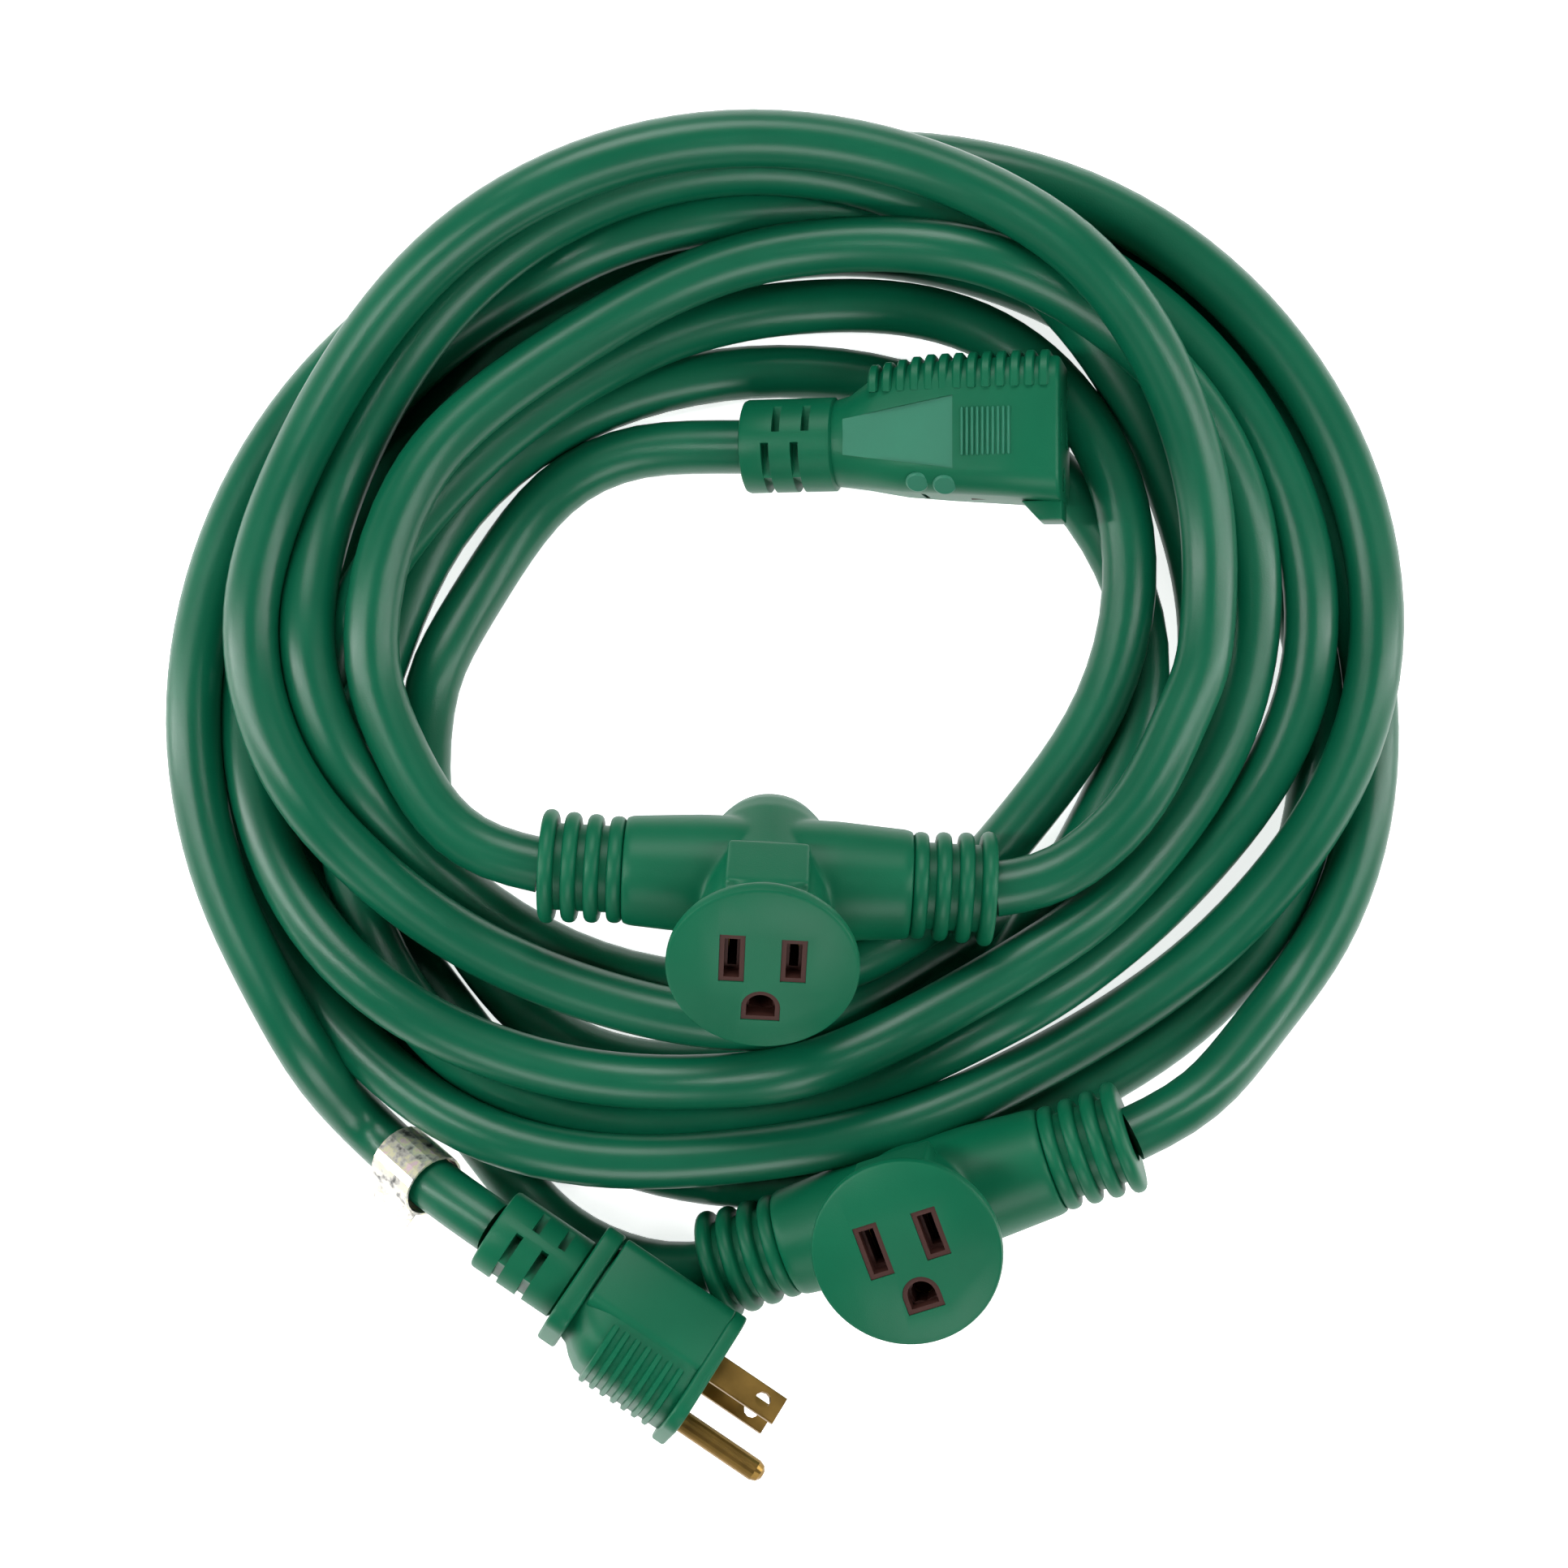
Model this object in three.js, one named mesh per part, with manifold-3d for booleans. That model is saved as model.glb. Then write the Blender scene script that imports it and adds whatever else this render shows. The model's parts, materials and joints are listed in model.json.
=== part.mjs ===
// An outdoor three-conductor extension cord, wound in a flat coil: a plug at one end, a
// connector at the other and two outlet taps moulded on along the way. Millimetres, +Z up.
// The coil lies on the plane z = 0.
import * as THREE from "three";
import { mergeVertices } from "three/addons/utils/BufferGeometryUtils.js";
import Module from "manifold-3d";

// ---------- driving dimensions ----------
const CORD_R = 6; // outer radius of the jacketed cord
const GAP = 0.3; // clearance between neighbouring pieces
const WIRE_R = 1.3; // insulated conductor
const SIDES = 20; // facets of a moulded round
const FINE_SIDES = 10; // facets of a contact or a wire

// Blade and pin layout of a 15 A grounded outlet.
const BLADE_OFFSET = 6.35; // each blade from the centre plane
const PIN_DROP = 12; // ground pin below the line of the blades
const SLOT_LINE = 2.6; // the blade slots above the outlet's centre

const COIL = {
  centre: [0, 30],
  half: [140, 120],
  squareness: 2.5,
  holeCentre: [-3, 26],
  holeHalf: [70, 64],
  height: 26,
  round: 7,
  points: 44,
};

const TAP = {
  armEnd: 29.5,
  reliefEnd: 49,
  armR: 11.75,
  middleR: 13,
  coreR: 9.25,
  ringR: [11.5, 11.7, 11.9, 12.25],
  domeR: 13.8,
  backZ: -22,
  faceZ: 34,
  rimT: 3.5,
  faceR: 20,
  plate: [17.5, 1.2, 14],
};

const OUTLET = {
  faceWall: 3, // thickness in front of the contact carrier
  carrierR: 11.3,
  carrierDepth: 17,
  lobeR: 3.6,
  frame: [3.2, 9.6, 8.6], // width, neutral height, hot height of the openings in the face
  entry: [1.9, 7.6, 6.8], // width, neutral height, hot height of the entries in the carrier
  contact: [3.2, 7.2, 11.6],
  entryDepth: 5,
  leaf: 1.7, // space between a contact's two leaves
  sleeveR: 2.9,
  pinHoleR: 2.45,
};

const PLUG = {
  at: [-63.5, -97.1, 25.7],
  heading: -33.5,
  roll: 26,
  pitch: 3,
  reliefL: 20.7,
  reliefR: 9.5,
  plateEnd: 25.5,
  bodyEnd: 53.8,
  flangeEnd: 57,
  bladeOut: 16.5,
  pinOut: 21,
  shank: 13,
  blade: [1.5, 6.35],
  bladeHoleR: 1.75,
  bladeHoleBack: 4.4,
  pinR: 2.4,
};

const CONNECTOR = {
  at: [-8.3, 75.6, 12.5],
  pitch: 11.5,
  reliefL: 20.7,
  reliefR: 10.4,
  waistR: 9.6,
  bodyR: 17.9,
  bodyStart: 46,
  length: 71,
  flatness: 0.78,
};

const TAP_1 = { at: [-3.5, -20.2, 33], heading: -3, tilt: 32, pitch: 0 };
const TAP_2 = { at: [29.7, -92.1, 22.4], heading: 19.3, tilt: 6, pitch: 10 };

// Free stretches from a strain relief to the coil: where each leaves its relief, its compass heading
// and slope there, and the points that it then passes.
const STRAIGHT = 7; // a lead runs straight for this far out of its relief
const LEADS = {
  cord_plug_lead: {
    from: [-63.5, -97.1, 25.7],
    heading: 146.5,
    slope: -3,
    points: [
      [-79.4, -87.6, 18.8],
      [-89, -81, 11],
      [-98.5, -73.2, 6.9],
      [-108, -62.5, 6.2],
    ],
  },
  cord_tap_1_left: {
    from: [-52.43, -17.64, 33],
    heading: 177,
    slope: 0,
    points: [
      [-69, -11.5, 31.5],
      [-77, -2, 27],
      [-83, 9, 20],
    ],
  },
  cord_tap_1_right: {
    from: [45.43, -22.76, 33],
    heading: -3,
    slope: 0,
    points: [
      [64, -17, 33],
      [75, -7, 31],
      [82, 5, 27],
      [88, 19, 21],
    ],
  },
  cord_tap_2_left: {
    from: [-15.85, -108.05, 13.9],
    heading: 199.3,
    slope: -10,
    points: [
      [-31.5, -109.2, 7.2],
      [-43, -106, 6.2],
      [-53, -98.5, 6.1],
      [-62, -89, 6.1],
      [-69.5, -78.5, 6.1],
    ],
  },
  cord_tap_2_right: {
    from: [75.25, -76.15, 30.9],
    heading: 19.3,
    slope: 10,
    points: [
      [92, -67.5, 28.5],
      [101, -58.5, 22],
      [109, -47.5, 14],
      [116, -35, 8],
    ],
  },
  cord_connector_lead: {
    from: [-8.3, 75.6, 12.5],
    heading: 180,
    slope: -11.5,
    points: [
      [-27, 76.5, 8],
      [-38, 75, 6.4],
      [-49, 69.5, 6.2],
    ],
  },
};

const COLOURS = {
  jacket: { color: 0x005f41, roughness: 0.42, metalness: 0 },
  moulding: { color: 0x006a46, roughness: 0.45, metalness: 0 },
  carrier: { color: 0x3c1614, roughness: 0.6, metalness: 0 },
  brass: { color: 0x8f7032, roughness: 0.35, metalness: 1 },
  wire_black: { color: 0x101010, roughness: 0.5, metalness: 0 },
  wire_white: { color: 0xe6e4dc, roughness: 0.5, metalness: 0 },
  wire_green: { color: 0x1c8a3c, roughness: 0.5, metalness: 0 },
  foil: { color: 0xcfcfcd, roughness: 0.25, metalness: 1 },
};

// ---------- solids ----------
const wasm = await Module();
wasm.setup();

// A three.js geometry as a manifold-3d solid with its faces pointing out.
function solid(geometry) {
  const bare = geometry.clone();
  bare.deleteAttribute("normal");
  bare.deleteAttribute("uv");
  const merged = mergeVertices(bare, 1e-4);
  const vertProperties = merged.attributes.position.array;
  const triVerts = new Uint32Array(merged.index.array);
  const made = new wasm.Manifold(new wasm.Mesh({ numProp: 3, vertProperties, triVerts }));
  if (made.volume() > 0) return made;
  for (let i = 0; i < triVerts.length; i += 3) {
    const first = triVerts[i];
    triVerts[i] = triVerts[i + 1];
    triVerts[i + 1] = first;
  }
  return new wasm.Manifold(new wasm.Mesh({ numProp: 3, vertProperties, triVerts }));
}

function geometryOf(made) {
  const mesh = made.getMesh();
  const geometry = new THREE.BufferGeometry();
  geometry.setAttribute("position", new THREE.BufferAttribute(mesh.vertProperties, 3));
  geometry.setIndex(new THREE.BufferAttribute(mesh.triVerts, 1));
  geometry.computeVertexNormals();
  return geometry;
}

function join(first, ...others) {
  return others.reduce((sum, other) => sum.add(other), first);
}

function cut(first, ...others) {
  return others.reduce((rest, other) => rest.subtract(other), first);
}

// A box from its lowest to its highest corner.
function block(low, high) {
  const size = high.map((value, i) => value - low[i]);
  const centre = high.map((value, i) => (value + low[i]) / 2);
  return solid(new THREE.BoxGeometry(...size).translate(...centre));
}

// A round rod along Z from one height to another.
function rod(radius, low, high, x = 0, y = 0, sides = SIDES) {
  const geometry = new THREE.CylinderGeometry(radius, radius, high - low, sides);
  geometry.rotateX(Math.PI / 2);
  geometry.translate(x, y, (low + high) / 2);
  return solid(geometry);
}

// A profile of [radius, height] points turned about Z, flattened along Y if asked.
function turned(profile, flatness = 1, sides = SIDES) {
  const points = profile.map(([r, h]) => new THREE.Vector2(r, h));
  const geometry = new THREE.LatheGeometry(points, sides);
  geometry.rotateX(Math.PI / 2);
  geometry.scale(1, flatness, 1);
  return solid(geometry);
}

// Turns a solid that was built along Z so that it lies along X, with its Y kept and its X down.
function alongX(made) {
  return solid(geometryOf(made).rotateY(Math.PI / 2));
}

function tube(points, radius, curvePoints = 5, steps = 12) {
  const path = new THREE.CatmullRomCurve3(points.map((p) => new THREE.Vector3(...p)));
  const section = new THREE.Shape();
  section.absarc(0, 0, radius, 0, 2 * Math.PI);
  const options = { steps, extrudePath: path, curveSegments: curvePoints, bevelEnabled: false };
  return solid(new THREE.ExtrudeGeometry(section, options));
}

function roundedRectangle(low, high, radius) {
  const shape = new THREE.Shape();
  shape.moveTo(low[0] + radius, low[1]);
  shape.lineTo(high[0] - radius, low[1]);
  shape.absarc(high[0] - radius, low[1] + radius, radius, -Math.PI / 2, 0);
  shape.lineTo(high[0], high[1] - radius);
  shape.absarc(high[0] - radius, high[1] - radius, radius, 0, Math.PI / 2);
  shape.lineTo(low[0] + radius, high[1]);
  shape.absarc(low[0] + radius, high[1] - radius, radius, Math.PI / 2, Math.PI);
  shape.lineTo(low[0], low[1] + radius);
  shape.absarc(low[0] + radius, low[1] + radius, radius, Math.PI, 1.5 * Math.PI);
  return shape;
}

// A rounded rectangle in Y and Z, drawn out along X.
function slab(low, high, radius, x0, x1) {
  const options = { depth: x1 - x0, bevelEnabled: false, curveSegments: 5 };
  const geometry = new THREE.ExtrudeGeometry(roundedRectangle(low, high, radius), options);
  geometry.rotateX(Math.PI / 2);
  geometry.rotateZ(Math.PI / 2);
  geometry.translate(x0, 0, 0);
  return solid(geometry);
}

// ---------- the outlet's inside, seen from its face: the face is z = 0, depths are negative ----------
function outletCavity(clearance) {
  const top = -OUTLET.faceWall + (clearance ? 0 : -GAP);
  const bottom = top - OUTLET.carrierDepth - (clearance ? 2 * GAP : 0);
  const lobeY = SLOT_LINE - PIN_DROP;
  return join(
    rod(OUTLET.carrierR + clearance, bottom, top),
    rod(OUTLET.lobeR + clearance, bottom, top, 0, lobeY, FINE_SIDES),
  );
}

// The three openings in the face: a longer neutral slot, a hot slot and a round-topped ground hole.
function faceOpenings(sizes, groundR, low, high) {
  const [width, neutral, hot] = sizes;
  const lobeY = SLOT_LINE - PIN_DROP;
  const slots = [
    [-BLADE_OFFSET, neutral],
    [BLADE_OFFSET, hot],
  ].map(([x, tall]) =>
    block([x - width / 2, SLOT_LINE - tall / 2, low], [x + width / 2, SLOT_LINE + tall / 2, high]),
  );
  const flat = block([-groundR, lobeY - groundR * 0.8, low], [groundR, lobeY, high]);
  return join(slots[0], slots[1], rod(groundR, low, high, 0, lobeY, FINE_SIDES), flat);
}

function contactBottom() {
  return -OUTLET.faceWall - GAP - OUTLET.carrierDepth + GAP;
}

function contactTop() {
  return contactBottom() + OUTLET.contact[2];
}

function carrier() {
  const [width, tall] = OUTLET.contact;
  const low = contactBottom() - 1;
  const high = contactTop() + GAP;
  const pockets = [-BLADE_OFFSET, BLADE_OFFSET].map((x) =>
    block(
      [x - width / 2 - GAP, SLOT_LINE - tall / 2 - GAP, low],
      [x + width / 2 + GAP, SLOT_LINE + tall / 2 + GAP, high],
    ),
  );
  const well = rod(OUTLET.sleeveR + GAP, low, high, 0, SLOT_LINE - PIN_DROP, FINE_SIDES);
  const entries = faceOpenings(OUTLET.entry, OUTLET.pinHoleR, high - 1, 1);
  return cut(outletCavity(0), pockets[0], pockets[1], well, entries);
}

// A blade contact: two brass leaves joined at the bottom.
function bladeContact(x) {
  const [width, tall] = OUTLET.contact;
  const low = contactBottom();
  const body = block(
    [x - width / 2, SLOT_LINE - tall / 2, low],
    [x + width / 2, SLOT_LINE + tall / 2, contactTop()],
  );
  const space = block(
    [x - OUTLET.leaf / 2, SLOT_LINE - tall, low + 1.4],
    [x + OUTLET.leaf / 2, SLOT_LINE + tall, 0],
  );
  return cut(body, space);
}

// The ground contact: a brass sleeve with a foot that reaches in towards its wire.
function groundContact() {
  const y = SLOT_LINE - PIN_DROP;
  const low = contactBottom();
  const sleeve = rod(OUTLET.sleeveR, low, contactTop(), 0, y, FINE_SIDES);
  const bore = rod(OUTLET.pinHoleR, low + 1.4, 1, 0, y, FINE_SIDES);
  const foot = block([-1, y, low - 1.6], [1, y + 6.4, low - 0.6]);
  const neck = block([-1, y, low - 1], [1, y + 2, low + 1]);
  return join(cut(sleeve, bore), neck, foot);
}

// Tails that reach down from the contacts to the wires running past behind them.
function tail(x, y, low) {
  return block([x - 0.8, y - 0.6, low], [x + 0.8, y + 0.6, contactBottom() + 0.6]);
}

// ---------- meshes ----------
function mesh(name, made, look) {
  const material = new THREE.MeshStandardMaterial(COLOURS[look]);
  const piece = new THREE.Mesh(geometryOf(made), material);
  piece.name = name;
  return piece;
}

// A group whose X axis points along a compass heading and whose other axes are turned about it.
function frameAt(at, headingDegrees, rollDegrees = 0, pitchDegrees = 0) {
  const group = new THREE.Group();
  const rad = Math.PI / 180;
  group.rotation.order = "ZYX";
  group.rotation.set(rollDegrees * rad, -pitchDegrees * rad, headingDegrees * rad);
  group.position.set(...at);
  return group;
}

// ---------- tap ----------
function tapRelief(side) {
  const pitch = (TAP.reliefEnd - TAP.armEnd) / TAP.ringR.length;
  const profile = [[0, TAP.armEnd - 2]];
  profile.push([TAP.coreR, TAP.armEnd - 2]);
  TAP.ringR.forEach((radius, i) => {
    const start = TAP.armEnd + i * pitch + 1.6;
    const end = TAP.armEnd + (i + 1) * pitch;
    profile.push([TAP.coreR, start]);
    profile.push([radius, start + 0.6]);
    profile.push([radius, end - 0.6]);
    profile.push([i === TAP.ringR.length - 1 ? radius - 0.6 : TAP.coreR, end]);
  });
  profile.push([0, TAP.reliefEnd]);
  const made = alongX(turned(profile));
  return side > 0 ? made : solid(geometryOf(made).rotateZ(Math.PI));
}

function tapBody() {
  const arm = alongX(
    turned([
      [0, -TAP.armEnd],
      [TAP.armR, -TAP.armEnd],
      [TAP.middleR, -TAP.domeR],
      [TAP.middleR, TAP.domeR],
      [TAP.armR, TAP.armEnd],
      [0, TAP.armEnd],
    ]),
  );
  const outlet = turned([
    [0, TAP.backZ],
    [5.2, TAP.backZ + 0.9],
    [9.3, TAP.backZ + 3.2],
    [12.4, TAP.backZ + 7],
    [TAP.domeR, TAP.backZ + 12],
    [TAP.domeR, 18],
    [14.6, 23],
    [16.6, 27],
    [TAP.faceR - 0.6, TAP.faceZ - TAP.rimT],
    [TAP.faceR, TAP.faceZ - TAP.rimT + 0.8],
    [TAP.faceR, TAP.faceZ - 0.5],
    [TAP.faceR - 0.5, TAP.faceZ],
    [0, TAP.faceZ],
  ]);
  const [wide, thick, tall] = TAP.plate;
  const plate = block([-wide / 2, 4, 9], [wide / 2, TAP.domeR + thick, 9 + tall]);
  const outside = join(arm, outlet, plate, tapRelief(1), tapRelief(-1));
  const cavity = solid(geometryOf(outletCavity(GAP)).translate(0, 0, TAP.faceZ));
  const openings = faceOpenings(
    OUTLET.frame,
    3,
    TAP.faceZ - OUTLET.faceWall - 1,
    TAP.faceZ + 1,
  );
  const well = rod(10.5, 3, 15);
  const bore = alongX(rod(CORD_R, -TAP.reliefEnd - 1, TAP.reliefEnd + 1));
  return cut(outside, cavity, openings, well, bore);
}

function tapWire(y) {
  const end = TAP.reliefEnd - 1;
  return alongX(rod(WIRE_R, -end, end, 0, y, FINE_SIDES));
}

function tap(name, place) {
  const group = frameAt(place.at, place.heading, place.tilt, place.pitch);
  const inFace = new THREE.Group();
  inFace.position.z = TAP.faceZ;
  const wireTop = WIRE_R + GAP - TAP.faceZ;
  const hot = join(bladeContact(BLADE_OFFSET), tail(BLADE_OFFSET, 3.4, wireTop));
  const neutral = join(bladeContact(-BLADE_OFFSET), tail(-BLADE_OFFSET, 0, wireTop));
  const groundFoot = block([-0.8, -4, wireTop], [0.8, -3, contactBottom() - 0.8]);
  inFace.add(mesh(name + "_carrier", carrier(), "carrier"));
  inFace.add(mesh(name + "_hot_contact", hot, "brass"));
  inFace.add(mesh(name + "_neutral_contact", neutral, "brass"));
  inFace.add(mesh(name + "_ground_contact", join(groundContact(), groundFoot), "brass"));
  group.add(inFace);
  group.add(mesh(name + "_body", tapBody(), "moulding"));
  group.add(mesh(name + "_hot_wire", tapWire(3.4), "wire_black"));
  group.add(mesh(name + "_neutral_wire", tapWire(0), "wire_white"));
  group.add(mesh(name + "_ground_wire", tapWire(-3.4), "wire_green"));
  return group;
}

// ---------- connector ----------
const HOT_WIRE = [4.6, SLOT_LINE];
const NEUTRAL_WIRE = [-4.6, SLOT_LINE];
const GROUND_WIRE = [0, -4.4];

function connectorBody() {
  const c = CONNECTOR;
  const outside = join(
    turned([
      [0, -c.length],
      [c.reliefR - 0.8, -c.length],
      [c.reliefR, -c.length + 0.8],
      [c.reliefR, -c.length + c.reliefL],
      [c.waistR, -c.length + c.reliefL],
      [c.waistR, -c.length + 30],
      [0, -c.length + 30],
    ]),
    turned([
      [0, c.reliefL - c.length + 1],
      [c.waistR + 1.4, c.reliefL - c.length + 1],
      [c.bodyR - 3, c.bodyStart - c.length - 8],
      [c.bodyR, c.bodyStart - c.length],
      [c.bodyR, 0],
      [0, 0],
    ]),
  );
  const flat = c.bodyR * c.flatness;
  const trim = block([-flat, -40, -c.length - 1], [flat, 40, 1]);
  const cavity = outletCavity(GAP);
  const openings = faceOpenings(OUTLET.frame, 3, -OUTLET.faceWall - 1, 1);
  const back = -OUTLET.faceWall - OUTLET.carrierDepth;
  const chamber = join(rod(8, -c.length + 24, back), rod(11.6, back - 4, back));
  const bore = rod(7, -c.length - 1, -c.length + 25);
  return cut(outside.intersect(trim), cavity, openings, chamber, bore);
}

function connectorWire([x, y]) {
  return rod(WIRE_R, 1 - CONNECTOR.length, contactBottom() - GAP - 1.6, x, y, FINE_SIDES);
}

function contactWithPad(x) {
  const low = contactBottom();
  const pad = block([x - 1.5, SLOT_LINE - 1.5, low - 1.6], [x + 1.5, SLOT_LINE + 1.5, low + 0.5]);
  return join(bladeContact(x), pad);
}

// The outlet looks along +X: its own Z axis is the cord's axis and its own X axis points up.
function connector() {
  const name = "connector";
  const group = frameAt(CONNECTOR.at, 0, 0, CONNECTOR.pitch);
  const inFace = new THREE.Group();
  inFace.rotation.set(0, Math.PI / 2, 0);
  inFace.position.x = CONNECTOR.length;
  inFace.add(mesh(name + "_body", connectorBody(), "moulding"));
  inFace.add(mesh(name + "_carrier", carrier(), "carrier"));
  inFace.add(mesh(name + "_hot_contact", contactWithPad(BLADE_OFFSET), "brass"));
  inFace.add(mesh(name + "_neutral_contact", contactWithPad(-BLADE_OFFSET), "brass"));
  inFace.add(mesh(name + "_ground_contact", groundContact(), "brass"));
  inFace.add(mesh(name + "_hot_wire", connectorWire(HOT_WIRE), "wire_black"));
  inFace.add(mesh(name + "_neutral_wire", connectorWire(NEUTRAL_WIRE), "wire_white"));
  inFace.add(mesh(name + "_ground_wire", connectorWire(GROUND_WIRE), "wire_green"));
  group.add(inFace);
  return group;
}

// ---------- plug: X runs from the strain relief to the blades, Z parts the two blades ----------
const PIN_Y = -11.9;
const BRIDGE = { low: [-14.6, -9.4], high: [6, 9.4], x0: 44, x1: 52 };

function plugBlade(side, clearance = 0) {
  const p = PLUG;
  const z = side * BLADE_OFFSET;
  const [thick, wide] = p.blade;
  const start = p.flangeEnd - p.shank;
  const end = p.flangeEnd + p.bladeOut;
  const blade = slab(
    [-wide / 2 - clearance, z - thick / 2 - clearance],
    [wide / 2 + clearance, z + thick / 2 + clearance],
    0.3,
    start,
    end,
  );
  if (clearance) return blade;
  return cut(blade, rod(p.bladeHoleR, z - 3, z + 3, end - p.bladeHoleBack, 0, FINE_SIDES));
}

function plugPin(radius) {
  const start = PLUG.flangeEnd - PLUG.shank;
  const end = PLUG.flangeEnd + PLUG.pinOut;
  const profile = [
    [0, start],
    [radius, start],
    [radius, end - 2],
    [radius * 0.8, end - 0.7],
    [radius * 0.4, end],
    [0, end],
  ];
  const pin = alongX(turned(profile, 1, 20));
  return solid(geometryOf(pin).translate(0, PIN_Y, 0));
}

function metalPassages() {
  return join(plugBlade(1, GAP), plugBlade(-1, GAP), plugPin(PLUG.pinR + GAP));
}

function reliefSlots(radius, start, pitch, count) {
  const slots = [];
  for (let i = 0; i < count; i += 1) {
    const x = start + i * pitch;
    slots.push(block([x, -radius - 1, radius - 2.4], [x + 1.6, radius * 0.35, radius + 1]));
    slots.push(block([x, -radius - 1, -radius - 1], [x + 1.6, radius * 0.35, -radius + 2.4]));
  }
  return join(...slots);
}

function plugBody() {
  const p = PLUG;
  const relief = alongX(
    turned([
      [0, 0],
      [p.reliefR - 0.6, 0],
      [p.reliefR, 0.6],
      [p.reliefR, p.reliefL],
      [0, p.reliefL],
    ]),
  );
  const plate = slab([-13, -11], [13, 11], 6, p.reliefL, p.plateEnd);
  const body = slab([-15.4, -11.6], [12, 11.6], 8, p.plateEnd - 1, p.bodyEnd);
  const flange = slab([-17, -12.6], [12.8, 12.6], 8, p.bodyEnd, p.flangeEnd);
  const chamber = slab([-12.8, -8.6], [5, 8.6], 2, 26, BRIDGE.x0 + 1);
  const bridgeHole = slab(
    BRIDGE.low.map((value) => value - GAP),
    BRIDGE.high.map((value) => value + GAP),
    5.8,
    BRIDGE.x0 - GAP,
    BRIDGE.x1 + GAP,
  );
  const bore = alongX(rod(CORD_R, -1, 27));
  const slots = reliefSlots(p.reliefR, 5, 6.4, 2);
  return cut(join(relief, plate, body, flange), slots, bore, chamber, bridgeHole, metalPassages());
}

function plugBridge() {
  return cut(slab(BRIDGE.low, BRIDGE.high, 5.5, BRIDGE.x0, BRIDGE.x1), metalPassages());
}

// Each wire runs from the relief to the back of its own blade or pin.
function plugWire(from, to) {
  const start = [1, from[0], from[1]];
  const end = [PLUG.flangeEnd - PLUG.shank - GAP - 0.2, to[0], to[1]];
  const straightIn = [26, from[0], from[1]];
  const straightOut = [end[0] - 3, to[0], to[1]];
  return tube([start, [12, ...from], straightIn, straightOut, end], WIRE_R, 4, 8);
}

function plug() {
  const group = frameAt(PLUG.at, PLUG.heading, -PLUG.roll, PLUG.pitch);
  group.add(mesh("plug_body", plugBody(), "moulding"));
  group.add(mesh("plug_bridge", plugBridge(), "carrier"));
  group.add(mesh("plug_hot_blade", plugBlade(1), "brass"));
  group.add(mesh("plug_neutral_blade", plugBlade(-1), "brass"));
  group.add(mesh("plug_ground_pin", plugPin(PLUG.pinR), "brass"));
  group.add(mesh("plug_hot_wire", plugWire([1.6, 3], [0, BLADE_OFFSET]), "wire_black"));
  group.add(mesh("plug_neutral_wire", plugWire([1.6, -3], [0, -BLADE_OFFSET]), "wire_white"));
  group.add(mesh("plug_ground_wire", plugWire([-3.4, 0], [PIN_Y + 1, 0]), "wire_green"));
  return group;
}

// ---------- leads ----------
// A lead's route: a gap, straight out of its relief, then on through its points.
function leadRoute(lead) {
  const rad = Math.PI / 180;
  const level = Math.cos(lead.slope * rad);
  const out = new THREE.Vector3(
    level * Math.cos(lead.heading * rad),
    level * Math.sin(lead.heading * rad),
    Math.sin(lead.slope * rad),
  );
  const start = new THREE.Vector3(...lead.from);
  const straight = [2 * GAP, STRAIGHT / 2, STRAIGHT].map((far) =>
    start.clone().addScaledVector(out, far).toArray(),
  );
  return [...straight, ...lead.points];
}

// ---------- foil tag: a thin band wrapped round the plug's lead, with its ends stuck together ----------
const TAG = { along: 0.38, length: 13, inner: 7, outer: 7.5, flag: 3.2 };

// The tag's X axis follows the lead, and its flag lies level, away from the coil.
function tagFrame() {
  const route = leadRoute(LEADS.cord_plug_lead).map((p) => new THREE.Vector3(...p));
  const curve = new THREE.CatmullRomCurve3(route);
  const centre = curve.getPointAt(TAG.along);
  const ahead = curve.getTangentAt(TAG.along).negate();
  const heading = (Math.atan2(ahead.y, ahead.x) * 180) / Math.PI;
  const pitch = (Math.asin(ahead.z) * 180) / Math.PI;
  return frameAt(centre.toArray(), heading, 0, pitch);
}

function foilTag() {
  const group = tagFrame();
  const half = TAG.length / 2;
  const band = cut(
    alongX(rod(TAG.outer, -half, half, 0, 0, 24)),
    alongX(rod(TAG.inner, -half - 1, half + 1, 0, 0, 24)),
  );
  const flag = block([-half, -TAG.outer - TAG.flag, -0.3], [half, -TAG.outer + 0.3, 0.3]);
  group.add(mesh("foil_tag", join(band, flag), "foil"));
  return group;
}

// ---------- coil ----------
// Points of an oval that is a little squarer than an ellipse.
function oval(centre, half, squareness, count) {
  const points = [];
  for (let i = 0; i < count; i += 1) {
    const angle = (i / count) * 2 * Math.PI;
    const c = Math.cos(angle);
    const s = Math.sin(angle);
    const x = centre[0] + half[0] * Math.sign(c) * Math.abs(c) ** (2 / squareness);
    const y = centre[1] + half[1] * Math.sign(s) * Math.abs(s) ** (2 / squareness);
    points.push(new THREE.Vector2(x, y));
  }
  return points;
}

function coilRing() {
  const inset = COIL.round;
  const outline = oval(
    COIL.centre,
    COIL.half.map((value) => value - inset),
    COIL.squareness,
    COIL.points,
  );
  const hole = oval(
    COIL.holeCentre,
    COIL.holeHalf.map((value) => value + inset),
    2,
    COIL.points,
  );
  const shape = new THREE.Shape(outline);
  shape.holes.push(new THREE.Path(hole));
  const geometry = new THREE.ExtrudeGeometry(shape, {
    depth: COIL.height - 2 * inset,
    bevelEnabled: true,
    bevelThickness: inset,
    bevelSize: inset,
    bevelSegments: 2,
  });
  geometry.translate(0, 0, inset);
  return solid(geometry);
}

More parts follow.
